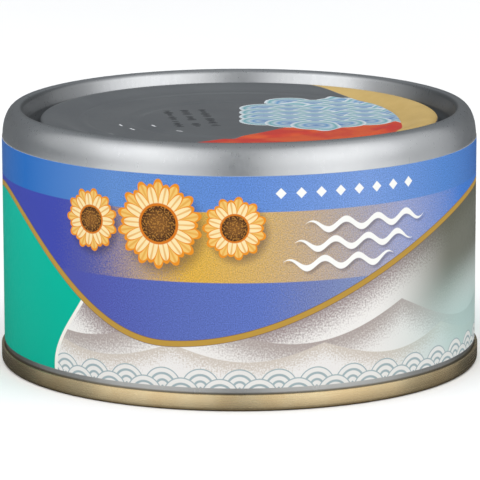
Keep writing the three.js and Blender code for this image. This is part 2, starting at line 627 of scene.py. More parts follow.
class Section:
    """Half outline of a turned piece, in millimetres from its axis and from the floor."""

    def __init__(self) -> None:
        """Starts with no points."""
        self.points: list[Point] = []

    def to(self, radius: float, height: float) -> Section:
        """Adds a corner."""
        self.points.append((radius, height))
        return self

    def arc(self, centre: Point, semi: Point, quarters: Point, steps: int = 14) -> Section:
        """Adds an elliptical arc.

        Args:
            centre: Radius and height of its centre.
            semi: Half its size across and up.
            quarters: First and last angle, in quarter turns from straight out.
            steps: Number of straight steps.

        Returns:
            The section itself.
        """
        for i in range(steps + 1):
            angle = (quarters[0] + (quarters[1] - quarters[0]) * i / steps) * QUARTER_TURN
            self.to(centre[0] + semi[0] * math.cos(angle), centre[1] + semi[1] * math.sin(angle))
        return self

    def slope(self, end: Point, steps: int = 16) -> Section:
        """Adds a soft slope from the last point, level at both ends.

        Args:
            end: Where the slope ends.
            steps: Number of straight steps.

        Returns:
            The section itself.
        """
        first = self.points[-1]
        for i in range(1, steps + 1):
            ease = (1 - math.cos(math.pi * i / steps)) / 2
            self.to(first[0] + (end[0] - first[0]) * i / steps, first[1] + (end[1] - first[1]) * ease)
        return self

    def ring(self, ring: PressedRing, level: float, outward: bool, steps: int = 20) -> Section:
        """Adds the round section of a pressed ring.

        Args:
            ring: The ring.
            level: Height of the panel round it.
            outward: Whether the section runs away from the axis.
            steps: Number of straight steps.

        Returns:
            The section itself.
        """
        for i in range(steps + 1):
            across = (2 * i / steps - 1) * (1 if outward else -1)
            lift = ring.rise * (1 + math.cos(across * math.pi)) / 2
            self.to(ring.radius + across * ring.half_width, level + lift)
        return self

    def piece(self, name: str) -> bpy.types.Object:
        """Makes an object that holds the section as a line of vertices.

        Args:
            name: Name of the object.

        Returns:
            The new object, without points that lie on each other.
        """
        kept = [self.points[0]]
        for point in self.points[1:]:
            if math.dist(point, kept[-1]) > 1e-6:
                kept.append(point)
        mesh = bpy.data.meshes.new(name)
        edges = [(i, i + 1) for i in range(len(kept) - 1)]
        mesh.from_pydata([(r * MM, 0.0, z * MM) for r, z in kept], edges, [])
        return linked(name, mesh)


@dataclass(frozen=True)
class PressedRing:
    """A ring pressed into a panel, in millimetres."""

    radius: float
    half_width: float
    rise: float


def linked(name: str, data: Any) -> bpy.types.Object:
    """Makes an object and links it into the scene.

    Args:
        name: Name of the object.
        data: Its mesh, lamp or camera.

    Returns:
        The new object.
    """
    item = bpy.data.objects.new(name, data)
    bpy.context.scene.collection.objects.link(item)
    return item


def settle(piece: bpy.types.Object, slot: Slot, *nodes: Node) -> bpy.types.Object:
    """Hands a finished piece to the frame.

    Args:
        piece: The finished object.
        slot: Material slot of the record that it follows. It is not used.
        *nodes: Solids that it stands for.

    Returns:
        The piece itself.
    """
    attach(piece, "root")
    if nodes:
        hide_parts(*(node.value for node in nodes))
    LOG.info("%s: %d faces", piece.name, len(piece.data.polygons))
    return piece


@dataclass(frozen=True)
class PaintedShade:
    """Painted shade in the groove round the lid and along the joint above the seam, in millimetres.

    A thinner painted shade lies on the recess wall too, and grows darker towards both sides.
    The metal strip below the label is made darker as well.
    """

    lid_radius: float
    unshaded_level: float
    shaded_level: float
    strip_top: float
    unshaded_rim: float = 0.7
    groove_shade_cover: float = 0.9
    wall_shade_reach: Point = (16.0, 38.0)
    wall_shade_cover: float = 0.64
    seam_line: float = 3.24
    seam_shade_cover: float = 0.65
    # colour of the painted shade in the groove, on the recess wall and along the seam's joint
    shade_ink: Rgba = ink(110, 112, 114)
    # darker tone of the metal strip below the label
    darker_strip_ink: Rgba = ink(190, 190, 187)

    def draw(self, graph: ShaderGraph, colour: Socket, at: Socket) -> Socket:
        """Paints shade inside the recess, low on the wall and along the seam's joint, and darkens the
        strip below the label.

        Args:
            graph: Tree that is being built.
            colour: Colour of the metal without the painted shade.
            at: Place on the piece.

        Returns:
            The colour with the painted shade over it.
        """
        x, y, z = graph.split(at)
        # painted shade: deep in the groove, on the recess wall towards both sides, and along the joint
        # above the seam
        inner = graph.inside(graph.apart(x, y, AXIS), self.lid_radius - self.unshaded_rim, soft=0.25)
        low = graph.span(z, self.shaded_level, self.unshaded_level, self.groove_shade_cover, 0.0)
        wall_shade = graph.span(graph.math("ABSOLUTE", x), *self.wall_shade_reach, 0.0, self.wall_shade_cover)
        # the metal strip below the label is made darker
        colour = graph.over(colour, graph.inside(z, self.strip_top, soft=0.5), self.darker_strip_ink)
        seam_shade = graph.both(graph.inside(z, self.seam_line, soft=0.08), self.seam_shade_cover)
        lid_shade = graph.both(inner, graph.math("MAXIMUM", low, wall_shade))
        return graph.over(colour, graph.math("MAXIMUM", seam_shade, lid_shade), self.shade_ink)


@dataclass(frozen=True)
class SatinTinplate:
    """Silver lacquered steel with a soft sheen."""

    colour: Rgba = ink(238, 239, 240)
    stain: Rgba = ink(230, 231, 233)
    roughness: tuple[float, float] = (0.27, 0.34)
    grain: float = 0.0006
    grain_scale: float = 2.6
    cloud_scale: float = 0.09
    streaks: tuple[float, float, float] = (3.0, 3.0, 0.12)
    name: str = "satin_tinplate"
    # painted shade in the groove and along the seam's joint, and a darker strip below the label
    painted_shade: PaintedShade | None = None

    def tone(self, graph: ShaderGraph, at: Socket) -> Socket:
        """Colour with faint cloudy change, with painted shade over it where the piece has it.

        Args:
            graph: Tree that is being built.
            at: Place on the piece.

        Returns:
            The colour.
        """
        colour = graph.clouded(self.colour, self.stain, graph.noise(at, self.cloud_scale, 4.0))
        return self.painted_shade.draw(graph, colour, at) if self.painted_shade else colour

    def gloss(self, graph: ShaderGraph, at: Socket) -> Socket:
        """Roughness with fine drawing marks up the wall."""
        streak = graph.noise(graph.stretched(at, self.streaks), 1.0, 3.0)
        return graph.span(streak, 0.25, 0.75, *self.roughness)

    def relief(self, graph: ShaderGraph, at: Socket) -> Socket:
        """Normal with the fine grain of the coating."""
        return graph.bump(graph.noise(at, self.grain_scale, 3.0), self.grain)

    def material(self) -> bpy.types.Material:
        """Builds the material.

        Returns:
            The finished material.
        """
        graph = ShaderGraph(self.name)
        at = graph.place()
        return graph.surface(
            Base_Color=self.tone(graph, at),
            Metallic=1.0,
            Roughness=self.gloss(graph, at),
            Normal=self.relief(graph, at),
        )


LID_METAL = SatinTinplate(
    colour=ink(200, 202, 204),
    stain=ink(193, 195, 198),
    roughness=(0.44, 0.52),
    grain=0.0008,
    name="lid_tinplate",
)
# dark metal of the raised code bars: painted shade that stands for the shade in pressed code
SHADED_MARK_METAL = SatinTinplate(
    colour=ink(118, 119, 122),
    stain=ink(110, 111, 114),
    roughness=(0.55, 0.62),
    grain=0.0008,
    name="shaded_mark_tinplate",
)


@dataclass(frozen=True)
class GoldLacquer:
    """Steel under a warm clear lacquer, with the marks of the seaming rolls."""

    colour: Rgba = ink(250, 227, 180)
    deep: Rgba = ink(242, 214, 164)
    roughness: tuple[float, float] = (0.2, 0.28)
    grain: float = 0.0008
    cloud_scale: float = 0.16
    rolling: tuple[float, float, float] = (0.08, 0.08, 7.0)

    def material(self) -> bpy.types.Material:
        """Builds the material.

        Returns:
            The finished material.
        """
        graph = ShaderGraph("gold_lacquer")
        at = graph.place()
        rolled = graph.noise(graph.stretched(at, self.rolling), 1.0, 3.0)
        cloud = graph.noise(at, self.cloud_scale, 4.0)
        return graph.surface(
            Base_Color=graph.clouded(self.colour, self.deep, cloud),
            Metallic=1.0,
            Roughness=graph.span(rolled, 0.3, 0.7, *self.roughness),
            Normal=graph.bump(rolled, self.grain),
        )


@dataclass(frozen=True)
class PaperCore:
    """Bare paper, at the cut edges and the back of the label."""

    colour: Rgba = ink(205, 203, 198)
    shade: Rgba = ink(186, 182, 175)
    roughness: float = 0.8
    fibre_scale: float = 4.0
    fibre_depth: float = 0.01

    def material(self) -> bpy.types.Material:
        """Builds the material.

        Returns:
            The finished material.
        """
        graph = ShaderGraph("paper_core")
        fibre = graph.noise(graph.place(), self.fibre_scale, 4.0)
        return graph.surface(
            Base_Color=graph.clouded(self.colour, self.shade, fibre, 0.4, 0.75),
            Roughness=self.roughness,
            Normal=graph.bump(fibre, self.fibre_depth),
        )


@dataclass(frozen=True)
class Sunflower:
    """A printed sunflower: round petals, dark seed disc, outline and soft shadow.

    Centre and radius are in millimetres. Other sizes are shares of the radius, apart from the rib's,
    which are shares of a petal's width.
    """

    centre: Point
    radius: float
    petals: int
    shadow_drop: Point = (0.12, -0.16)
    shadow_reach: Point = (0.72, 1.12)
    shadow_cover: float = 0.55
    shadow_ink: Rgba = ink(52, 44, 62)
    petal_bow: float = 0.42
    petal_power: float = 2.2
    petal_border: float = 0.075
    petal_border_ink: Rgba = ink(232, 143, 40)
    rib: Point = (0.03, 0.1)
    rib_cover: float = 0.7
    rib_ink: Rgba = ink(226, 158, 62)
    disc_border: float = 0.46
    disc_border_ink: Rgba = ink(214, 120, 34)
    disc: float = 0.4
    disc_inks: tuple[Rgba, Rgba] = (ink(126, 84, 44), ink(66, 42, 30))
    disc_reach: Point = (0.1, 0.44)
    seed_cover: float = 0.6
    seed_ink: Rgba = ink(200, 142, 62)

    def share(self, *shares: float) -> tuple[float, ...]:
        """Turns shares of the radius into millimetres."""
        return tuple(part * self.radius for part in shares)

    def shadow(self, graph: ShaderGraph, colour: Socket, x: Scalar, y: Scalar) -> Socket:
        """Darkens the ground below and to the right of the flower.

        Args:
            graph: Tree that is being built.
            colour: Colour behind.
            x: Place along the label.
            y: Place up the label.

        Returns:
            The colour with the shadow over it.
        """
        right, up = self.share(*self.shadow_drop)
        away = graph.apart(x, y, (self.centre[0] + right, self.centre[1] + up))
        mask = graph.span(away, *self.share(*self.shadow_reach), self.shadow_cover, 0.0)
        return graph.over(colour, mask, self.shadow_ink)

    def draw(self, graph: ShaderGraph, colour: Socket, x: Scalar, y: Scalar) -> Socket:
        """Prints the flower.

        Args:
            graph: Tree that is being built.
            colour: Colour behind.
            x: Place along the label.
            y: Place up the label.

        Returns:
            The colour with the flower over it.
        """
        dx = graph.math("SUBTRACT", x, self.centre[0])
        dy = graph.math("SUBTRACT", y, self.centre[1])
        away = graph.apart(x, y, self.centre)
        turn = graph.math("MULTIPLY", graph.math("ARCTAN2", dy, dx), self.petals / FULL_TURN)
        rows = ((0.5, 1.0, ink(238, 196, 112)), (0.0, 0.9, ink(247, 224, 170)))
        for phase, reach, fill in rows:
            across = graph.math("WRAP", graph.math("ADD", turn, phase), 0.5, -0.5)
            aside = graph.math("ABSOLUTE", graph.math("MULTIPLY", across, 2.0))
            bow = graph.math("POWER", aside, self.petal_power)
            edge = graph.math("MULTIPLY_ADD", bow, *self.share(-self.petal_bow, reach))
            colour = graph.over(colour, graph.inside(away, edge), self.petal_border_ink)
            inner = graph.math("SUBTRACT", edge, *self.share(self.petal_border))
            inner_mask = graph.inside(away, inner)
            colour = graph.over(colour, inner_mask, fill)
            rib = graph.span(graph.math("ABSOLUTE", across), *self.rib, self.rib_cover, 0.0)
            colour = graph.over(colour, graph.both(rib, inner_mask), self.rib_ink)
        rim = graph.inside(away, *self.share(self.disc_border), BLUNT_EDGE)
        colour = graph.over(colour, rim, self.disc_border_ink)
        outward = graph.span(away, *self.share(*self.disc_reach), 0.0, 1.0)
        disc = graph.over(self.disc_inks[0], outward, self.disc_inks[1])
        speck = graph.noise(graph.vector(x, y), 3.2, 1.0)
        seeds = graph.span(speck, 0.52, 0.6, 0.0, self.seed_cover)
        disc = graph.over(disc, seeds, self.seed_ink)
        disc_mask = graph.inside(away, *self.share(self.disc), BLUNT_EDGE)
        return graph.over(colour, disc_mask, disc)


@dataclass(frozen=True)
class Swell:
    """One printed layer of sea, dark along its cusped crest and pale below, in millimetres."""

    top: float
    dip: float
    length: float
    cusp: float
    fade: float
    shade: Rgba
    pale: Rgba
    strength: float = 0.72
    edge: float = 0.07

    def draw(self, graph: ShaderGraph, colour: Socket, x: Socket, y: Socket, grain: Socket) -> Socket:
        """Prints the layer.

        Args:
            graph: Tree that is being built.
            colour: Colour behind.
            x: Place along the face.
            y: Place up the label.
            grain: Noise that loosens the fade, in millimetres.

        Returns:
            The colour with the layer over it.
        """
        turn = graph.math("MULTIPLY", graph.math("SUBTRACT", x, self.cusp), math.pi / self.length)
        hollow = graph.math("ABSOLUTE", graph.math("SINE", turn))
        below = graph.math("SUBTRACT", graph.math("MULTIPLY_ADD", hollow, -self.dip, self.top), y)
        loose = graph.math("ADD", below, grain)
        dark = graph.span(loose, 0.0, self.fade, self.strength, 0.0)
        tone = graph.over(self.pale, dark, self.shade)
        return graph.over(colour, graph.inside(0.0, below, self.edge), tone)


@dataclass(frozen=True)
class GoldSwell:
    """The gold line, a long swell that is steeper on its left, in millimetres."""

    trough: float = -13.0
    left_reach: float = 46.0
    right_reach: float = 76.0
    mean: float = 18.6
    rise: float = 11.0
    width: float = 0.95
    border: float = 0.1
    border_ink: Rgba = ink(126, 98, 62)

    def depth(self, graph: ShaderGraph, x: Socket, y: Socket) -> Socket:
        """Distance below the line, square to it.

        Args:
            graph: Tree that is being built.
            x: Place along the face.
            y: Place up the label.

        Returns:
            The distance, less than zero above the line.
        """
        across = graph.math("SUBTRACT", x, self.trough)
        on_right = graph.math("GREATER_THAN", across, 0.0)
        reach = graph.math("MULTIPLY_ADD", on_right, self.right_reach - self.left_reach, self.left_reach)
        turn = graph.math("MULTIPLY", graph.math("DIVIDE", across, reach), math.pi)
        level = graph.math("MULTIPLY_ADD", graph.math("COSINE", turn), -self.rise, self.mean)
        climb = graph.math("MULTIPLY", graph.math("SINE", turn), self.rise * math.pi)
        slope = graph.math("DIVIDE", climb, reach)
        steep = graph.math("SQRT", graph.math("MULTIPLY_ADD", slope, slope, 1.0))
        return graph.math("DIVIDE", graph.math("SUBTRACT", level, y), steep)

    def draw(self, graph: ShaderGraph, colour: Socket, depth: Socket) -> Socket:
        """Prints the line with its thin dark edges.

        Args:
            graph: Tree that is being built.
            colour: Colour behind.
            depth: Distance below the line.

        Returns:
            The colour with the line over it.
        """
        away = graph.math("ABSOLUTE", depth)
        border = graph.inside(away, self.width / 2 + self.border)
        colour = graph.over(colour, border, self.border_ink)
        return graph.over(colour, graph.inside(away, self.width / 2), GOLD_INK)


@dataclass(frozen=True)
class RuledPanel:
    """A pale panel with blank ruled rows, one on each side of the can, in millimetres."""

    centre: float = 74.0
    half_width: float = 10.0
    top: float = 31.0
    border: float = 0.8
    rows_low: float = 3.4
    rows_high: float = 27.6
    rows_inset: float = 2.6
    row: float = 3.1
    rule: float = 0.18
    paper_ink: Rgba = ink(236, 234, 226)
    rule_ink: Rgba = ink(96, 110, 146)

    def draw(self, graph: ShaderGraph, colour: Socket, along: Socket, y: Socket) -> Socket:
        """Prints both panels.

        Args:
            graph: Tree that is being built.
            colour: Colour behind.
            along: Place round the can, less than zero on the left.
            y: Place up the label.

        Returns:
            The colour with the panels over it.
        """
        beside = graph.math("SUBTRACT", graph.math("ABSOLUTE", along), self.centre)
        across = graph.math("ABSOLUTE", beside)
        below = graph.inside(y, self.top)
        frame = graph.both(graph.inside(across, self.half_width), below)
        field = graph.both(graph.inside(across, self.half_width - self.border), below)
        in_rows = graph.both(graph.inside(self.rows_low, y), graph.inside(y, self.rows_high))
        table = graph.both(graph.inside(across, self.half_width - self.rows_inset), in_rows)
        step = graph.math("WRAP", y, self.row / 2, -self.row / 2)
        on_rule = graph.inside(graph.math("ABSOLUTE", step), self.rule / 2, FINE_EDGE)
        rule = graph.both(on_rule, table)
        colour = graph.over(colour, frame, GOLD_INK)
        colour = graph.over(colour, field, self.paper_ink)
        return graph.over(colour, rule, self.rule_ink)


@dataclass(frozen=True)
class FanBorder:
    """Overlapping sea fans along the label's foot, in millimetres."""

    radius: float = 3.4
    last_row: float = 1.0
    rings: float = 3.0
    fill_cover: float = 0.85
    fill_ink: Rgba = ink(229, 227, 223)
    line: Point = (0.12, 0.24)
    line_cover: float = 0.75
    line_ink: Rgba = ink(120, 150, 158)

    def draw(self, graph: ShaderGraph, colour: Socket, x: Socket, y: Socket) -> Socket:
        """Prints the border.

        Args:
            graph: Tree that is being built.
            colour: Colour behind.
            x: Place along the label.
            y: Place up the label.

        Returns:
            The colour with the border over it.
        """
        low = self.last_row
        fan = graph.scallops(x, y, self.radius, lambda _, row: graph.math("LESS_THAN", row, low))
        drawn = graph.math("LESS_THAN", fan, 1.0)
        ring = graph.math("PINGPONG", graph.math("MULTIPLY", fan, self.rings), 0.5)
        colour = graph.over(colour, graph.both(drawn, self.fill_cover), self.fill_ink)
        line = graph.both(drawn, graph.span(ring, *self.line, 1.0, 0.0))
        return graph.over(colour, graph.both(line, self.line_cover), self.line_ink)


@dataclass(frozen=True)
class TealShore:
    """The plain teal field at the left, which ends in a pale line, in millimetres."""

    foot: Point = (-37.0, 1.0)
    head: Point = (-27.5, 20.0)
    line: float = 0.8
    line_ink: Rgba = ink(240, 238, 230)

    def draw(self, graph: ShaderGraph, colour: Socket, x: Socket, y: Socket) -> Socket:
        """Prints the field.

        Args:
            graph: Tree that is being built.
            colour: Colour behind.
            x: Place along the label.
            y: Place up the label.

        Returns:
            The colour with the field over it.
        """
        bank = graph.span(y, self.foot[1], self.head[1], self.foot[0], self.head[0])
        stops = ((0.0, ink(0, 172, 146)), (14.0, ink(0, 178, 152)), (30.0, ink(4, 184, 158)))
        edge = graph.inside(x, graph.math("ADD", bank, self.line), BLUNT_EDGE)
        colour = graph.over(colour, edge, self.line_ink)
        return graph.over(colour, graph.inside(x, bank, BLUNT_EDGE), graph.blend(y, stops))


@dataclass(frozen=True)
class WaveStroke:
    """A white wavy stroke with tapered ends and a soft shadow, in millimetres."""

    level: float
    first: float
    last: float
    wave_length: float = 6.4
    wave_height: float = 0.8
    half_width: float = 0.55
    taper: float = 5.0
    least_width: float = 0.02
    edge: float = 0.07
    shadow_drop: Point = (0.4, -0.45)
    shadow_edge: float = 0.4
    shadow_cover: float = 0.45
    shadow_ink: Rgba = ink(70, 64, 76)

    def cover(self, graph: ShaderGraph, x: Socket, y: Socket, drop: Point, soft: float) -> Socket:
        """Cover of the stroke.

        Args:
            graph: Tree that is being built.
            x: Place along the face.
            y: Place up the label.
            drop: How far the stroke is moved along and up.
            soft: Half width of its soft border.

        Returns:
            The cover from 0 to 1.
        """
        first, last = self.first + drop[0], self.last + drop[0]
        crest = first + self.wave_length / 4
        line = graph.wave(x, self.wave_length, crest, self.wave_height, self.level + drop[1])
        away = graph.math("ABSOLUTE", graph.math("SUBTRACT", y, line))
        grown = graph.span(x, first, first + self.taper, 0.0, 1.0)
        width = graph.both(grown, graph.span(x, last - self.taper, last, self.half_width, 0.0))
        shown = graph.math("GREATER_THAN", width, self.least_width)
        return graph.both(graph.inside(away, width, soft), shown)

    def draw(self, graph: ShaderGraph, colour: Socket, x: Socket, y: Socket) -> Socket:
        """Prints the stroke over its shadow.

        Args:
            graph: Tree that is being built.
            colour: Colour behind.
            x: Place along the label.
            y: Place up the label.

        Returns:
            The colour with the stroke over it.
        """
        shadow = self.cover(graph, x, y, self.shadow_drop, self.shadow_edge)
        colour = graph.over(colour, graph.both(shadow, self.shadow_cover), self.shadow_ink)
        return graph.over(colour, self.cover(graph, x, y, (0.0, 0.0), self.edge), WHITE_INK)


@dataclass(frozen=True)
class LozengeRow:
    """A row of small white lozenges, in millimetres."""

    level: float = 34.2
    first: float = 5.4
    last: float = 34.2
    pitch: float = 3.6
    half_size: float = 0.95

    def draw(self, graph: ShaderGraph, colour: Socket, x: Socket, y: Socket) -> Socket:
        """Prints the row.

        Args:
            graph: Tree that is being built.
            colour: Colour behind.
            x: Place along the label.
            y: Place up the label.

        Returns:
            The colour with the row over it.
        """
        dx = graph.math("ABSOLUTE", graph.math("WRAP", x, self.pitch / 2, -self.pitch / 2))
        dy = graph.math("ABSOLUTE", graph.math("SUBTRACT", y, self.level))
        row = graph.both(graph.inside(self.first, x, FINE_EDGE), graph.inside(x, self.last, FINE_EDGE))
        lozenge = graph.inside(graph.math("ADD", dx, dy), self.half_size, BLUNT_EDGE)
        return graph.over(colour, graph.both(row, lozenge), WHITE_INK)


@dataclass(frozen=True)
class LabelPrint:
    """The label's colours: banded sky, gold line, sea below. All sizes in millimetres."""

    height: float
    girth: float
    start: float
    length: float
    band_top: float = 31.0
    band_foot: float = 18.6
    margin: float = 0.04
    margin_ink: Rgba = ink(150, 180, 226)
    screen: float = 0.8
    screen_scale: float = 5.0
    screen_reach: Point = (-34.0, -20.0)
    stipple_scale: float = 3.2
    stipple_reach: float = 9.0
    water_ink: Rgba = ink(236, 233, 229)
    mist_fade: float = 6.0
    mist_cover: float = 0.8
    mist_ink: Rgba = ink(122, 98, 100)
    olive_reach: Point = (24.0, 46.0)
    olive_depth: Point = (9.5, 24.0)
    olive_cover: float = 0.92
    olive_ink: Rgba = ink(94, 96, 82)
    cool_reach: Point = (22.0, 52.0)
    cool_level: Point = (6.0, 20.0)
    cool_cover: float = 0.85
    cool_ink: Rgba = ink(172, 201, 196)
    roughness: tuple[float, float] = (0.34, 0.44)
    specular: float = 0.04
    fibre_depth: float = 0.004
    gold: GoldSwell = GoldSwell()
    panels: RuledPanel = RuledPanel()
    fans: FanBorder = FanBorder()
    shore: TealShore = TealShore()
    lozenges: LozengeRow = LozengeRow()
    strokes: tuple[WaveStroke, ...] = (
        WaveStroke(28.3, 11.0, 37.0),
        WaveStroke(25.0, 9.0, 34.0),
        WaveStroke(21.7, 7.0, 29.5),
    )
    flowers: tuple[Sunflower, ...] = (
        Sunflower((-27.6, 28.2), 5.6, 11),
        Sunflower((-0.8, 28.2), 5.6, 11),
        Sunflower((-14.2, 28.6), 7.9, 14),
    )
    swells: tuple[Swell, ...] = (
        Swell(13.6, 6.0, 41.0, 31.0, 6.0, ink(138, 118, 112), ink(232, 229, 225)),
        Swell(7.6, 3.0, 27.0, 15.0, 3.4, ink(190, 176, 160), ink(232, 229, 226)),
    )

    def sky(self, graph: ShaderGraph, x: Socket, y: Socket, grain: Socket) -> Socket:
        """Blue band with a painted sheen that makes it lighter towards the middle of each face, violet to
        ochre band and blue-violet foot.

        Args:
            graph: Tree that is being built.
            x: Place along the face.
            y: Place up the label.
            grain: Noise that loosens each change of colour, in millimetres.

        Returns:
            The colour of the sky.
        """
        loose = graph.math("MULTIPLY_ADD", grain, 2.0, x)
        band = graph.blend(
            loose,
            (
                (-36.0, ink(66, 76, 172)),
                (-27.0, ink(92, 96, 160)),
                (-18.0, ink(168, 147, 136)),
                (-9.0, ink(216, 170, 66)),
                (4.0, ink(203, 168, 106)),
                (20.0, ink(172, 162, 162)),
                (31.0, ink(154, 161, 198)),
                (50.0, ink(66, 122, 204)),
            ),
        )
        # painted sheen: the blue band is lighter towards the middle of each face, most on its right
        top = graph.blend(
            x,
            (
                (-60.0, ink(66, 112, 182)),
                (-46.0, ink(40, 110, 190)),
                (-23.0, ink(97, 139, 201)),
                (0.0, ink(95, 135, 204)),
                (23.0, ink(121, 154, 213)),
                (43.0, ink(85, 133, 202)),
                (60.0, ink(66, 112, 182)),
            ),
        )
        foot = graph.blend(
            loose,
            (
                (-30.0, ink(80, 86, 168)),
                (-10.0, ink(90, 107, 178)),
                (4.0, ink(94, 115, 186)),
                (14.0, ink(116, 128, 176)),
                (26.0, ink(134, 150, 188)),
            ),
        )
        ground = graph.over(band, graph.inside(y, self.band_foot, BLUNT_EDGE), foot)
        return graph.over(ground, graph.inside(self.band_top, y, BLUNT_EDGE), top)

    def screened(self, graph: ShaderGraph, colour: Socket, x: Socket, y: Socket) -> Socket:
        """Breaks a colour up into the fine dots of the press, which fade out towards the left.

        Args:
            graph: Tree that is being built.
            colour: Colour behind.
            x: Place along the label.
            y: Place up the label.

        Returns:
            The colour with its dots.
        """
        dots = graph.math("SUBTRACT", graph.noise(graph.vector(x, y), self.screen_scale, 0.0), 0.5)
        strength = graph.span(x, *self.screen_reach, 0.0, self.screen)
        value = graph.math("MULTIPLY_ADD", dots, strength, 1.0)
        return graph.add("ShaderNodeHueSaturation", {"Value": value, "Color": colour}).outputs["Color"]

    def sea(self, graph: ShaderGraph, x: Socket, y: Socket, depth: Socket, grain: Socket) -> Socket:
        """Pale water with misty swells and fans at its foot, and a plain teal shore on the left.

        Args:
            graph: Tree that is being built.
            x: Place along the face.
            y: Place up the label.
            depth: Distance below the gold line.
            grain: Noise that loosens each change of colour, in millimetres.

        Returns:
            The colour of the sea.
        """
        loose = graph.math("ADD", depth, grain)
        mist = graph.span(loose, 0.0, self.mist_fade, self.mist_cover, 0.0)
        colour = graph.over(self.water_ink, mist, self.mist_ink)
        near = graph.math("MULTIPLY_ADD", grain, 0.5, depth)
        right = graph.span(x, *self.olive_reach, 0.0, self.olive_cover)
        olive = graph.both(right, graph.span(near, *self.olive_depth, 1.0, 0.0))
        colour = graph.over(colour, olive, self.olive_ink)
        for swell in self.swells:
            colour = swell.draw(graph, colour, x, y, grain)
        right = graph.span(x, *self.cool_reach, 0.0, self.cool_cover)
        cool = graph.both(right, graph.span(y, *self.cool_level, 1.0, 0.0))
        colour = graph.over(colour, cool, self.cool_ink)
        colour = self.fans.draw(graph, colour, x, y)
        return self.shore.draw(graph, colour, x, y)

    def material(self) -> bpy.types.Material:
        """Builds the printed paper.

        Returns:
            The finished material.
        """
        graph = ShaderGraph("printed_paper")
        uv = graph.add("ShaderNodeUVMap", uv_map=WrappingTool.UV_MAP).outputs["UV"]
        u, v, _ = graph.split(uv)
        along = graph.math("MULTIPLY_ADD", u, self.length, self.start)
        around = graph.math("WRAP", along, self.girth / 2, -self.girth / 2)
        x = graph.math("WRAP", along, self.girth / 4, -self.girth / 4)
        y = graph.math("MULTIPLY", v, self.height)
        stipple = graph.noise(graph.vector(along, y), self.stipple_scale, 2.0)
        grain = graph.math("MULTIPLY", graph.math("SUBTRACT", stipple, 0.5), self.stipple_reach)
        depth = self.gold.depth(graph, x, y)
        colour = self.screened(graph, self.sky(graph, x, y, grain), x, y)
        for flower in self.flowers:
            colour = flower.shadow(graph, colour, x, y)
        for flower in self.flowers:
            colour = flower.draw(graph, colour, x, y)
        for ornament in (*self.strokes, self.lozenges):
            colour = ornament.draw(graph, colour, x, y)
        below = graph.inside(0.0, depth)
        colour = graph.over(colour, below, self.sea(graph, x, y, depth, grain))
        colour = self.gold.draw(graph, colour, depth)
        colour = self.panels.draw(graph, colour, around, y)
        at_top = graph.inside(self.height - self.margin, y, FINE_EDGE)
        colour = graph.over(colour, at_top, self.margin_ink)
        fibre = graph.noise(graph.stretched(graph.place(), (1.0, 1.0, 0.6)), 1.6, 4.0)
        return graph.surface(
            Base_Color=colour,
            Roughness=graph.span(fibre, 0.3, 0.7, *self.roughness),
            Specular_IOR_Level=self.specular,
            Normal=graph.bump(fibre, self.fibre_depth),
        )


@dataclass(frozen=True)
class Crescent:
    """A printed crescent along the edge of a round panel, in degrees and millimetres."""

    turn_deg: float
    half_span_deg: float
    depth: float

    def cover(self, graph: ShaderGraph, x: Socket, y: Socket, edge: float) -> Socket:
        """Cover of the crescent, which lies outside a second, larger circle.

        Args:
            graph: Tree that is being built.
            x: Place across the panel.
            y: Place from front to back.
            edge: Radius of the printed panel.

        Returns:
            The cover from 0 to 1, without regard to the panel's edge.
        """
        inner = edge - self.depth
        reach = edge * math.cos(math.radians(self.half_span_deg))
        shift = (edge**2 - inner**2) / (2 * (inner - reach))
        turn = math.radians(self.turn_deg)
        centre = (-shift * math.cos(turn), -shift * math.sin(turn))
        return graph.inside(inner + shift, graph.apart(x, y, centre))


@dataclass(frozen=True)
class PaintedGlint:
    """A short painted glint on the edge of a pressed ring, in millimetres and degrees."""

    radius: float
    turn_deg: float
    length: float = 1.8
    width: float = 0.34

    def cover(self, graph: ShaderGraph, x: Socket, y: Socket) -> Socket:
        """Cover of the painted glint.

        Args:
            graph: Tree that is being built.
            x: Place across the panel.
            y: Place from front to back.

        Returns:
            The cover from 0 to 1.
        """
        turn = math.radians(self.turn_deg)
        centre = (self.radius * math.cos(turn), self.radius * math.sin(turn))
        along = graph.inside(graph.apart(x, y, centre), self.length / 2, soft=0.3)
        away = graph.math("ABSOLUTE", graph.math("SUBTRACT", graph.apart(x, y, AXIS), self.radius))
        return graph.both(along, graph.inside(away, self.width / 2, soft=0.12))


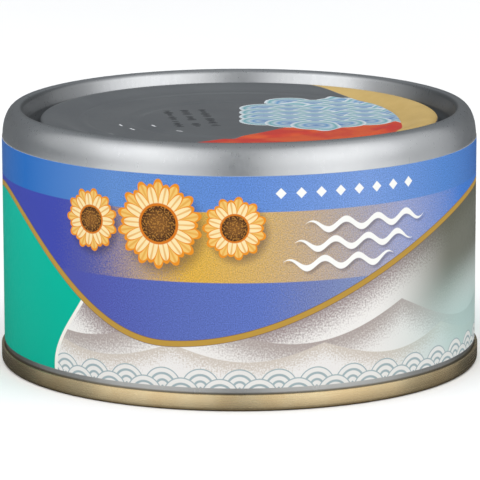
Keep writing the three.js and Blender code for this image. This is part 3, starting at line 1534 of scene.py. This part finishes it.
@dataclass(frozen=True)
class LidPrint:
    """Inks on the lid's panel: gold and red crescents, a field of sea fans and painted glints on the
    pressed rings, in millimetres.
    """

    metal: SatinTinplate
    rim: float = 36.0
    gold: Crescent = Crescent(15.0, 58.0, 7.6)
    red: Crescent = Crescent(-34.0, 88.0, 24.0)
    sea_centre: Point = (15.5, 6.0)
    sea_radius: float = 14.0
    fan: float = 4.6
    shine: float = 0.2
    # white of the painted glints, and where they lie on the edges of the pressed rings
    glint_ink: Rgba = ink(236, 238, 240)
    glints: tuple[PaintedGlint, ...] = (
        PaintedGlint(22.3, -163.0),
        PaintedGlint(21.9, -151.0),
        PaintedGlint(17.0, -155.0),
        PaintedGlint(16.6, -130.0, 1.5),
        PaintedGlint(27.5, -146.0, 1.5),
    )

    def in_sea(self, graph: ShaderGraph, x: Socket, y: Socket) -> Socket:
        """One where a fan centred there belongs to the field."""
        return graph.math("LESS_THAN", graph.apart(x, y, self.sea_centre), self.sea_radius)

    def material(self) -> bpy.types.Material:
        """Builds the printed metal.

        Returns:
            The finished material.
        """
        graph = ShaderGraph("printed_tinplate")
        at = graph.place()
        x, y, _ = graph.split(at)
        inside_rim = graph.inside(graph.apart(x, y, AXIS), self.rim)
        gold = graph.both(inside_rim, self.gold.cover(graph, x, y, self.rim))
        red = graph.both(inside_rim, self.red.cover(graph, x, y, self.rim))
        fan = graph.scallops(x, y, self.fan, lambda cx, cy: self.in_sea(graph, cx, cy))
        sea = graph.math("LESS_THAN", fan, 1.0)
        fans = graph.blend(
            fan,
            (
                (0.0, ink(70, 120, 180)),
                (0.3, ink(168, 188, 204)),
                (0.45, ink(104, 150, 192)),
                (0.62, ink(186, 202, 212)),
                (0.8, ink(110, 168, 176)),
                (0.93, ink(206, 216, 222)),
                (1.0, ink(214, 222, 226)),
            ),
        )
        cloud = graph.noise(graph.stretched(at, (1.0, 1.0, 0.0)), 0.12, 3.0)
        reds = graph.clouded(ink(196, 62, 52), ink(212, 92, 52), cloud, 0.4, 0.62)
        golds = graph.clouded(ink(206, 176, 112), ink(198, 168, 104), cloud, 0.4, 0.65)
        colour = self.metal.tone(graph, at)
        for mask, inks in ((red, reds), (sea, fans), (gold, golds)):
            colour = graph.over(colour, mask, inks)
        cover = graph.math("MAXIMUM", sea, graph.math("MAXIMUM", red, gold))
        # painted glints: white and not metallic, on the edges of the pressed rings
        for glint in self.glints:
            glint_mask = glint.cover(graph, x, y)
            colour = graph.over(colour, glint_mask, self.glint_ink)
            cover = graph.math("MAXIMUM", cover, glint_mask)
        return graph.surface(
            Base_Color=colour,
            Metallic=graph.span(cover, 0.0, 1.0, 1.0, self.shine),
            Roughness=self.metal.gloss(graph, at),
            Normal=self.metal.relief(graph, at),
        )


@dataclass
class CanBody:
    """Drawn body with its shoulder, recess, groove and ringed panel, in millimetres."""

    radius: float
    height: float
    facets: int = 256
    joint: float = 4.55
    skirt_bottom: float = 1.3
    skirt_inner: float = 42.35
    shoulder: Point = (2.6, 5.1)
    crest_round: float = 1.2
    wall_tilt_deg: float = 16.0
    moat_drop: float = 3.9
    moat_round: float = 1.3
    rim_radius: float = 34.2
    rim_drop: float = 1.7
    panel_drop: float = 2.77
    ridge: PressedRing = PressedRing(28.5, 1.2, 0.3)
    channel: PressedRing = PressedRing(19.2, 1.9, -0.3)
    # depths below the top where the painted shade in the groove begins and where it is full
    unshaded_drop: float = 2.2
    shaded_drop: float = 3.2

    @property
    def panel_level(self) -> float:
        """Height of the flat panel."""
        return self.height - self.panel_drop

    @property
    def moat_centre(self) -> Point:
        """Finds the groove, below a straight wall that runs into both rounds.

        Returns:
            Radius and height of the centre of its round bottom.
        """
        tilt = math.radians(self.wall_tilt_deg)
        rounds = self.crest_round + self.moat_round
        wall = (self.moat_drop - rounds + rounds * math.sin(tilt)) / math.cos(tilt)
        crest = self.radius - self.shoulder[0]
        middle = crest - rounds * math.cos(tilt) - wall * math.sin(tilt)
        return (middle, self.height - self.moat_drop + self.moat_round)

    def section(self) -> Section:
        """Draws the half outline.

        Returns:
            The section, from the hidden underside over the shoulder to the middle of the lid.
        """
        crest = self.radius - self.shoulder[0]
        moat, level = self.moat_centre, self.panel_level
        rim_top = self.height - self.rim_drop
        rim_width = moat[0] - self.moat_round - self.rim_radius
        outline = Section().to(0.0, self.joint).to(self.skirt_inner, self.joint)
        outline.to(self.skirt_inner, self.skirt_bottom).to(self.radius, self.skirt_bottom)
        outline.arc((crest, self.height - self.shoulder[1]), self.shoulder, (0, 1), 32)
        inner = (self.crest_round, self.crest_round)
        bent = self.wall_tilt_deg / 90
        outline.arc((crest, self.height - self.crest_round), inner, (1, 2 - bent), 16)
        outline.arc(moat, (self.moat_round, self.moat_round), (-bent, -2), 24)
        outline.arc((self.rim_radius, moat[1]), (rim_width, rim_top - moat[1]), (0, 1), 16)
        outline.slope((self.ridge.radius + self.ridge.half_width, level))
        outline.ring(self.ridge, level, outward=False)
        outline.ring(self.channel, level, outward=False)
        return outline.to(0.0, level)

    def build(self, tool: TurningTool) -> bpy.types.Object:
        """Turns the body and gives it its metal and its printed lid.

        Args:
            tool: Tree that turns a section.

        Returns:
            The finished body.
        """
        piece = self.section().piece("drawn_body")
        metal = SatinTinplate(
            # painted shade in the groove, on the recess wall and along the seam's joint
            painted_shade=PaintedShade(
                lid_radius=self.radius - self.shoulder[0],
                unshaded_level=self.height - self.unshaded_drop,
                shaded_level=self.height - self.shaded_drop,
                strip_top=self.joint,
            )
        )
        tool.apply(
            piece,
            {
                "Facets": self.facets,
                "Finish": metal.material(),
                "Panel finish": LidPrint(LID_METAL).material(),
                "Panel radius": (self.moat_centre[0] - self.moat_round) * MM,
                "Panel floor": self.skirt_inner * MM,
            },
        )
        return settle(piece, Slot.SILVER, Node.BODY)


@dataclass
class LidMarks:
    """Lines of raised bars on the lid, where a packing code is pressed, in millimetres. Their dark metal
    is painted shade.
    """

    level: float
    lines: int = 3
    line_gap: float = 3.25
    bars: int = 19
    pitch: float = 0.95
    centre: Point = (-8.8, 0.7)
    lean_deg: float = -81.0
    bar: tuple[float, float, float] = (0.3, 0.95, 0.035)

    def build(self, tool: MarkingTool) -> bpy.types.Object:
        """Sets the marks on the panel.

        Args:
            tool: Tree that sets lines of bars.

        Returns:
            The finished marks.
        """
        lean = math.radians(self.lean_deg)
        along = -self.pitch * (self.bars - 1) / 2
        across = -self.line_gap * (self.lines - 1) / 2
        first = (
            self.centre[0] + along * math.cos(lean) - across * math.sin(lean),
            self.centre[1] + along * math.sin(lean) + across * math.cos(lean),
        )
        piece = linked("lid_marks", bpy.data.meshes.new("lid_marks"))
        tool.apply(
            piece,
            {
                "Lines": self.lines,
                "Line gap": [0.0, self.line_gap * MM, 0.0],
                "Bars in a line": self.bars,
                "Bar pitch": [self.pitch * MM, 0.0, 0.0],
                "Bar size": [size * MM for size in self.bar],
                "Place": [first[0] * MM, first[1] * MM, self.level * MM],
                "Lean": [0.0, 0.0, lean],
                # dark metal: painted shade of the pressed code
                "Finish": SHADED_MARK_METAL.material(),
            },
        )
        return settle(piece, Slot.SILVER)


@dataclass
class PaperLabel:
    """Printed sheet wrapped round the wall and pasted down over its own start, in millimetres."""

    radius: float
    bottom: float
    top: float
    thickness: float = 0.07
    trim: float = 0.1
    lap: float = 9.0
    free_edge_deg: float = 118.0
    facets: int = 361
    rows: int = 5

    @property
    def girth(self) -> float:
        """Length once round the can."""
        return FULL_TURN * self.radius

    def build(self, tool: WrappingTool) -> bpy.types.Object:
        """Wraps and prints the sheet.

        Args:
            tool: Tree that wraps a sheet.

        Returns:
            The finished label.
        """
        length = self.girth + self.lap
        end = math.radians(self.free_edge_deg)
        turn = length / self.radius
        bottom = self.bottom + self.trim
        height = self.top - bottom
        start = end - turn
        finish = LabelPrint(height, self.girth, start * self.radius, length)
        piece = linked("wrap_label", bpy.data.meshes.new("wrap_label"))
        tool.apply(
            piece,
            {
                "Facets": self.facets,
                "Rows": self.rows,
                "Radius": self.radius * MM,
                "Bottom": bottom * MM,
                "Height": height * MM,
                "Thickness": self.thickness * MM,
                "Start angle": start,
                "Wrap angle": turn,
                "Lap share": self.lap / length,
                "Print": finish.material(),
                "Paper": PaperCore().material(),
            },
        )
        return settle(piece, Slot.PAPER, Node.LABEL)


@dataclass
class BaseEnd:
    """Gold lacquered end: ringed panel, groove, chuck wall and double seam, in millimetres."""

    radius: float
    joint: float
    facets: int = 256
    seam_height: float = 3.0
    seam_inner: float = 41.3
    foot_round: float = 0.7
    inner_round: float = 0.6
    fold_wall: float = 0.6
    fold_round: float = 0.1
    guard: float = 0.04
    slot_inner: float = 42.3
    slot_bottom: float = 1.25
    chuck_taper: float = 0.6
    sink_round: float = 0.7
    sink_depth: float = 3.7
    panel_level: float = 2.7
    panel_edge: float = 1.3
    ridge: PressedRing = PressedRing(29.0, 1.8, -0.35)
    step: PressedRing = PressedRing(18.0, 1.8, -0.35)

    def section(self) -> Section:
        """Draws the half outline.

        Returns:
            The section, from the middle of the underside round the seam to the hidden joint.
        """
        sink = (self.seam_inner - self.chuck_taper - self.sink_round, self.sink_depth - self.sink_round)
        edge = (sink[0] - self.sink_round - self.panel_edge, sink[1])
        inner = (self.seam_inner + self.inner_round, self.inner_round)
        outer = (self.radius - self.foot_round, self.foot_round)
        half_fold = self.fold_wall / 2
        fold = (self.radius - half_fold, self.seam_height - self.fold_round)
        outline = Section().to(0.0, self.panel_level)
        outline.ring(self.step, self.panel_level, outward=True)
        outline.ring(self.ridge, self.panel_level, outward=True)
        outline.arc(edge, (self.panel_edge, edge[1] - self.panel_level), (-1, 0))
        outline.arc(sink, (self.sink_round, self.sink_round), (2, 0), 24)
        outline.arc(inner, (self.inner_round, self.inner_round), (2, 3))
        outline.arc(outer, (self.foot_round, self.foot_round), (3, 4))
        outline.to(self.radius, outer[1] + self.guard).to(self.radius, fold[1] - self.guard)
        outline.arc(fold, (half_fold, self.fold_round), (0, 2), 16)
        slot_outer = self.radius - self.fold_wall
        outline.to(slot_outer, self.slot_bottom).to(self.slot_inner, self.slot_bottom)
        return outline.to(self.slot_inner, self.joint).to(0.0, self.joint)

    def build(self, tool: TurningTool) -> bpy.types.Object:
        """Turns the end and gives it its lacquer.

        Args:
            tool: Tree that turns a section.

        Returns:
            The finished end.
        """
        piece = self.section().piece("seamed_base")
        gold = GoldLacquer().material()
        tool.apply(
            piece,
            {
                "Facets": self.facets,
                "Finish": gold,
                "Panel finish": gold,
                "Panel radius": 0.0,
                "Panel floor": 0.0,
            },
        )
        return settle(piece, Slot.GOLD, Node.BASE)


@dataclass(frozen=True)
class Softbox:
    """A softbox that faces the can and is brightest in its middle, its angles as the can sees them."""

    name: str
    azimuth_deg: float
    elevation_deg: float
    half_size_deg: Point
    spread_deg: float
    roll_deg: float
    glow: float
    reach: float = 1.2

    def hang(self) -> None:
        """Hangs the lamp, its top leaning away from the camera's side by the roll."""
        lamp = bpy.data.lights.new(self.name, "AREA")
        lamp.shape = "RECTANGLE"
        wide, high = (math.radians(half) for half in self.half_size_deg)
        lamp.size = 2 * self.reach * math.tan(wide)
        lamp.size_y = 2 * self.reach * math.tan(high)
        half_spread = math.radians(self.spread_deg) / 2
        lamp.spread = 2 * half_spread
        narrowed = 1 - half_spread / math.tan(half_spread)
        lamp.energy = self.glow * math.pi * lamp.size * lamp.size_y * narrowed
        azimuth, elevation = math.radians(self.azimuth_deg), math.radians(self.elevation_deg)
        level = Vector((math.sin(azimuth), -math.cos(azimuth), 0.0)) * math.cos(elevation)
        away = level + Vector((0.0, 0.0, math.sin(elevation)))
        roll = -math.copysign(1.0, azimuth) * math.radians(self.roll_deg)
        turned = away.to_track_quat("Z", "Y") @ Quaternion((0.0, 0.0, 1.0), roll)
        item = linked(lamp.name, lamp)
        item.location = away * self.reach
        item.rotation_euler = turned.to_euler()
        item.visible_camera = False


@dataclass
class Studio:
    """Pale floor, softboxes, an overhead fill, dim surroundings and the camera, in metres."""

    eye: tuple[float, float, float] = (0.00011, -0.6866, 0.1624)
    tilt_deg: float = 11.606
    roll_deg: float = -0.1
    focal_mm: float = 287.3
    floor_size: float = 8.0
    floor_tones: tuple[Rgba, Rgba] = (ink(246, 246, 246), ink(243, 243, 243))
    card_front: float = 0.06
    card_fade: Point = (0.01, 0.05)
    card_cover: float = 0.4
    card: Rgba = (0.95, 0.95, 0.95, 1.0)
    table: Rgba = (0.98, 0.98, 0.98, 1.0)
    table_roughness: float = 0.2
    shade: Rgba = (0.02, 0.02, 0.02, 1.0)
    shade_radius: Point = (0.042, 0.057)
    shade_cover: float = 0.76
    boxes: tuple[Softbox, ...] = (
        Softbox("left_box", -42.0, 22.5, (29.0, 42.0), 94.0, 16.0, 0.95),
        Softbox("left_wing", -81.0, 36.0, (27.0, 33.0), 112.0, -20.0, 0.4),
        Softbox("right_box", 46.5, 18.7, (35.5, 45.0), 100.0, 20.0, 1.04),
        Softbox("right_wing", 97.0, 24.5, (26.5, 48.0), 117.0, -15.0, 0.335),
    )
    fill_size: float = 3.0
    fill_height: float = 2.3
    fill_front: float = 0.4
    fill_power: float = 64.0
    dim: Rgba = (0.156, 0.168, 0.178, 1.0)
    dim_above: Rgba = (0.222, 0.235, 0.246, 1.0)
    dim_behind: Rgba = (0.114, 0.12, 0.125, 1.0)
    above_rise: Point = (0.4, 0.9)
    behind_reach: Point = (0.3, 0.95)
    behind_rise: Point = (0.15, 0.5)

    def camera(self) -> None:
        """Looks at the can from the front, a little from above."""
        lens = bpy.data.cameras.new("camera")
        lens.lens = self.focal_mm
        lens.clip_start = 0.01
        item = linked("camera", lens)
        item.location = self.eye
        tilted = Quaternion((1.0, 0.0, 0.0), QUARTER_TURN - math.radians(self.tilt_deg))
        rolled = tilted @ Quaternion((0.0, 0.0, 1.0), math.radians(self.roll_deg))
        item.rotation_euler = rolled.to_euler()
        bpy.context.scene.camera = item

    def fill(self) -> None:
        """Lights floor and print evenly from above, without a reflection in the metal."""
        lamp = bpy.data.lights.new("overhead_fill", "AREA")
        lamp.size = self.fill_size
        lamp.energy = self.fill_power
        item = linked(lamp.name, lamp)
        item.location = (0.0, -self.fill_front, self.fill_height)
        item.rotation_euler = (math.atan2(self.fill_front, self.fill_height), 0.0, 0.0)
        item.visible_camera = False
        item.visible_glossy = False

    def floor(self) -> None:
        """Lays a pale floor, which the metal mirrors as a gloss table with a pale card and a dark ring."""
        graph = ShaderGraph("pale_floor")
        at = graph.place()
        x, y, _ = graph.split(at)
        cloud = graph.noise(at, 0.004, 2.0)
        tone = graph.clouded(*self.floor_tones, cloud, 0.3, 0.7)
        plain, card, shade = (
            graph.add("ShaderNodeBsdfDiffuse", {"Color": colour}).outputs["BSDF"]
            for colour in (tone, self.card, self.shade)
        )
        feeds = {"Color": self.table, "Roughness": self.table_roughness}
        table = graph.add("ShaderNodeBsdfGlossy", feeds).outputs["BSDF"]
        from_card = graph.apart(x, y, (0.0, -self.card_front / MM))
        card_fade = (radius / MM for radius in self.card_fade)
        on_card = graph.span(from_card, *card_fade, self.card_cover, 0.0)
        shade_fade = (radius / MM for radius in self.shade_radius)
        in_shade = graph.span(graph.apart(x, y, AXIS), *shade_fade, self.shade_cover, 0.0)
        mirrored = graph.mixed(in_shade, graph.mixed(on_card, table, card), shade)
        in_metal = graph.add("ShaderNodeLightPath").outputs["Is Glossy Ray"]
        graph.feed(graph.output.inputs["Surface"], graph.mixed(in_metal, plain, mirrored))
        half = self.floor_size / 2
        corners = [(-half, -half, 0), (half, -half, 0), (half, half, 0), (-half, half, 0)]
        mesh = bpy.data.meshes.new("floor")
        mesh.from_pydata(corners, [], [(0, 1, 2, 3)])
        mesh.materials.append(graph.material)
        linked("floor", mesh)

    def surroundings(self) -> None:
        """Sets dim grey surroundings, lighter above and darker low behind, and a plain transform."""
        scene = bpy.context.scene
        world = bpy.data.worlds.new("studio")
        world.use_nodes = True
        graph = Graph(world.node_tree)
        _, back, up = graph.split(graph.add("ShaderNodeTexCoord").outputs["Object"])
        above = graph.span(up, *self.above_rise, 0.0, 1.0)
        low = graph.span(up, *self.behind_rise, 1.0, 0.0)
        behind = graph.math("MULTIPLY", graph.span(back, *self.behind_reach, 0.0, 1.0), low)
        tone = graph.over(graph.over(self.dim, above, self.dim_above), behind, self.dim_behind)
        graph.feed(world.node_tree.nodes["Background"].inputs["Color"], tone)
        scene.world = world
        scene.view_settings.view_transform = "Standard"

    def build(self) -> None:
        """Sets the whole studio up."""
        self.surroundings()
        self.floor()
        for box in self.boxes:
            box.hang()
        self.fill()
        self.camera()


def main() -> None:
    """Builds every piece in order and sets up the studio."""
    logging.basicConfig(level=logging.INFO, format="%(name)s %(message)s")
    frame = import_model()
    LOG.info("frame with %s", ", ".join(sorted(frame["nodes"])))
    body_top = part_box(Node.BODY.value)[1] / MM
    label_low, label_top = (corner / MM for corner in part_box(Node.LABEL.value))
    base_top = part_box(Node.BASE.value)[1] / MM
    turning = TurningTool()
    body = CanBody(body_top.x, body_top.z)
    body.build(turning)
    LidMarks(body.panel_level).build(MarkingTool())
    PaperLabel(label_top.x, label_low.z, label_top.z).build(WrappingTool())
    BaseEnd(base_top.x, base_top.z).build(turning)
    Studio().build()


if __name__ == "__main__":
    main()
